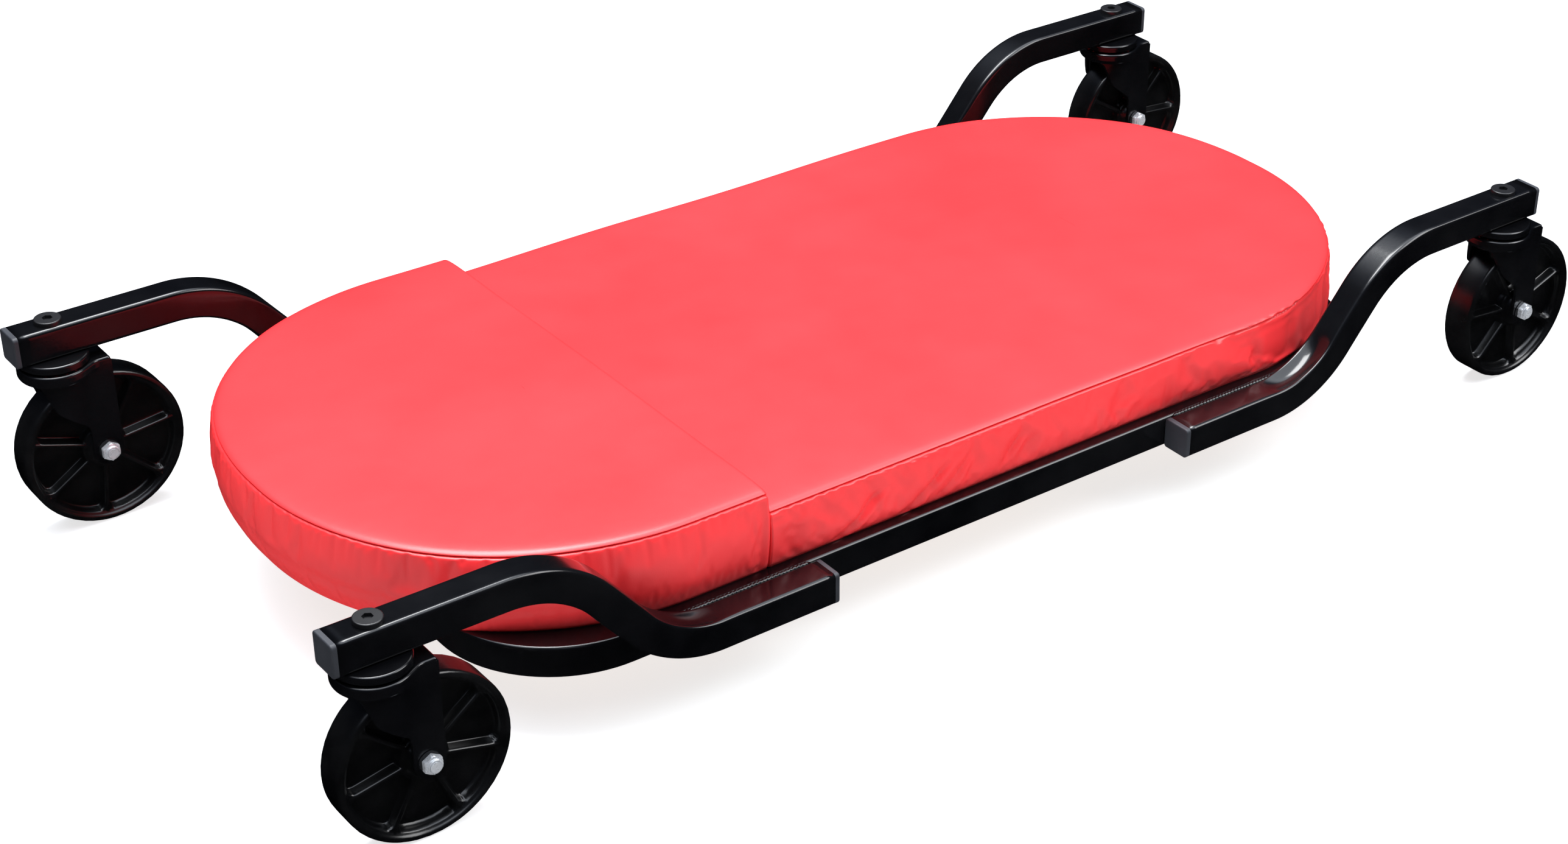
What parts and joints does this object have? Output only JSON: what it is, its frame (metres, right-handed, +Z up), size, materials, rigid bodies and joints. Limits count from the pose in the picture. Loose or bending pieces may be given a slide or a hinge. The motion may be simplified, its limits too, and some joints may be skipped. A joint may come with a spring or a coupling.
{
  "type": "mechanics creeper",
  "caption": "Low padded mechanics creeper: racetrack upholstered deck with raised head section on a square-tube frame, S-bent arms to outboard swivel casters with ribbed wheels.",
  "frame": {"origin": "On the floor, under the middle of the bounding box with all four casters trailing toward the foot end", "axes": "+X points to the foot end, +Y to the left of someone lying on the deck, +Z is up"},
  "size_m": [1.161, 0.536, 0.175],
  "materials": {
    "powder_black": "satin black powder coat on steel",
    "plug_plastic": "matte dark grey moulded plastic",
    "plywood": "raw plywood",
    "foam": "open-cell upholstery foam",
    "red_vinyl": "soft satin red vinyl",
    "zinc_steel": "bright zinc plating",
    "black_bolt": "black oxide",
    "ball_steel": "polished bearing steel",
    "wheel_plastic": "semi-gloss moulded black plastic"
  },
  "bodies": {
    "deck_frame": {"arm_foot_left": "powder_black", "arm_foot_right": "powder_black", "arm_head_left": "powder_black", "arm_head_right": "powder_black", "balls_foot_left": "ball_steel", "balls_foot_right": "ball_steel", "balls_head_left": "ball_steel", "balls_head_right": "ball_steel", "board_screws": "zinc_steel", "body_cover": "red_vinyl", "body_foam": "foam", "brace_foot": "powder_black", "brace_head": "powder_black", "deck_board": "plywood", "end_plug_foot_left": "plug_plastic", "end_plug_foot_right": "plug_plastic", "end_plug_head_left": "plug_plastic", "end_plug_head_right": "plug_plastic", "frame_foot_half": "powder_black", "frame_head_half": "powder_black", "head_cover": "red_vinyl", "head_foam": "foam", "kingpin_bolt_foot_left": "black_bolt", "kingpin_bolt_foot_right": "black_bolt", "kingpin_bolt_head_left": "black_bolt", "kingpin_bolt_head_right": "black_bolt", "kingpin_nut_foot_left": "zinc_steel", "kingpin_nut_foot_right": "zinc_steel", "kingpin_nut_head_left": "zinc_steel", "kingpin_nut_head_right": "zinc_steel", "race_cap_foot_left": "powder_black", "race_cap_foot_right": "powder_black", "race_cap_head_left": "powder_black", "race_cap_head_right": "powder_black", "rail_plug_foot_left": "plug_plastic", "rail_plug_foot_right": "plug_plastic", "rail_plug_head_left": "plug_plastic", "rail_plug_head_right": "plug_plastic"},
    "swivel_head_left": {"fork_head_left": "powder_black", "axle_sleeve_head_left": "zinc_steel", "axle_bolt_head_left": "zinc_steel", "axle_nut_head_left": "zinc_steel"},
    "wheel_head_left": {"wheel_head_left": "wheel_plastic"},
    "swivel_head_right": {"fork_head_right": "powder_black", "axle_sleeve_head_right": "zinc_steel", "axle_bolt_head_right": "zinc_steel", "axle_nut_head_right": "zinc_steel"},
    "wheel_head_right": {"wheel_head_right": "wheel_plastic"},
    "swivel_foot_left": {"fork_foot_left": "powder_black", "axle_sleeve_foot_left": "zinc_steel", "axle_bolt_foot_left": "zinc_steel", "axle_nut_foot_left": "zinc_steel"},
    "wheel_foot_left": {"wheel_foot_left": "wheel_plastic"},
    "swivel_foot_right": {"fork_foot_right": "powder_black", "axle_sleeve_foot_right": "zinc_steel", "axle_bolt_foot_right": "zinc_steel", "axle_nut_foot_right": "zinc_steel"},
    "wheel_foot_right": {"wheel_foot_right": "wheel_plastic"}
  },
  "joints": [
    {"name": "swivel_head_left", "type": "hinge", "parent": "deck_frame", "child": "swivel_head_left", "pos_m": [-0.543, 0.2405, 0.14], "axis": [0, 0, 1], "continuous": true},
    {"name": "spin_head_left", "type": "hinge", "parent": "swivel_head_left", "child": "wheel_head_left", "pos_m": [-0.518, 0.2405, 0.0625], "axis": [0, 1, 0], "continuous": true},
    {"name": "swivel_head_right", "type": "hinge", "parent": "deck_frame", "child": "swivel_head_right", "pos_m": [-0.543, -0.2405, 0.14], "axis": [0, 0, 1], "continuous": true},
    {"name": "spin_head_right", "type": "hinge", "parent": "swivel_head_right", "child": "wheel_head_right", "pos_m": [-0.518, -0.2405, 0.0625], "axis": [0, 1, 0], "continuous": true},
    {"name": "swivel_foot_left", "type": "hinge", "parent": "deck_frame", "child": "swivel_foot_left", "pos_m": [0.493, 0.2405, 0.14], "axis": [0, 0, 1], "continuous": true},
    {"name": "spin_foot_left", "type": "hinge", "parent": "swivel_foot_left", "child": "wheel_foot_left", "pos_m": [0.518, 0.2405, 0.0625], "axis": [0, 1, 0], "continuous": true},
    {"name": "swivel_foot_right", "type": "hinge", "parent": "deck_frame", "child": "swivel_foot_right", "pos_m": [0.493, -0.2405, 0.14], "axis": [0, 0, 1], "continuous": true},
    {"name": "spin_foot_right", "type": "hinge", "parent": "swivel_foot_right", "child": "wheel_foot_right", "pos_m": [0.518, -0.2405, 0.0625], "axis": [0, 1, 0], "continuous": true}
  ]
}
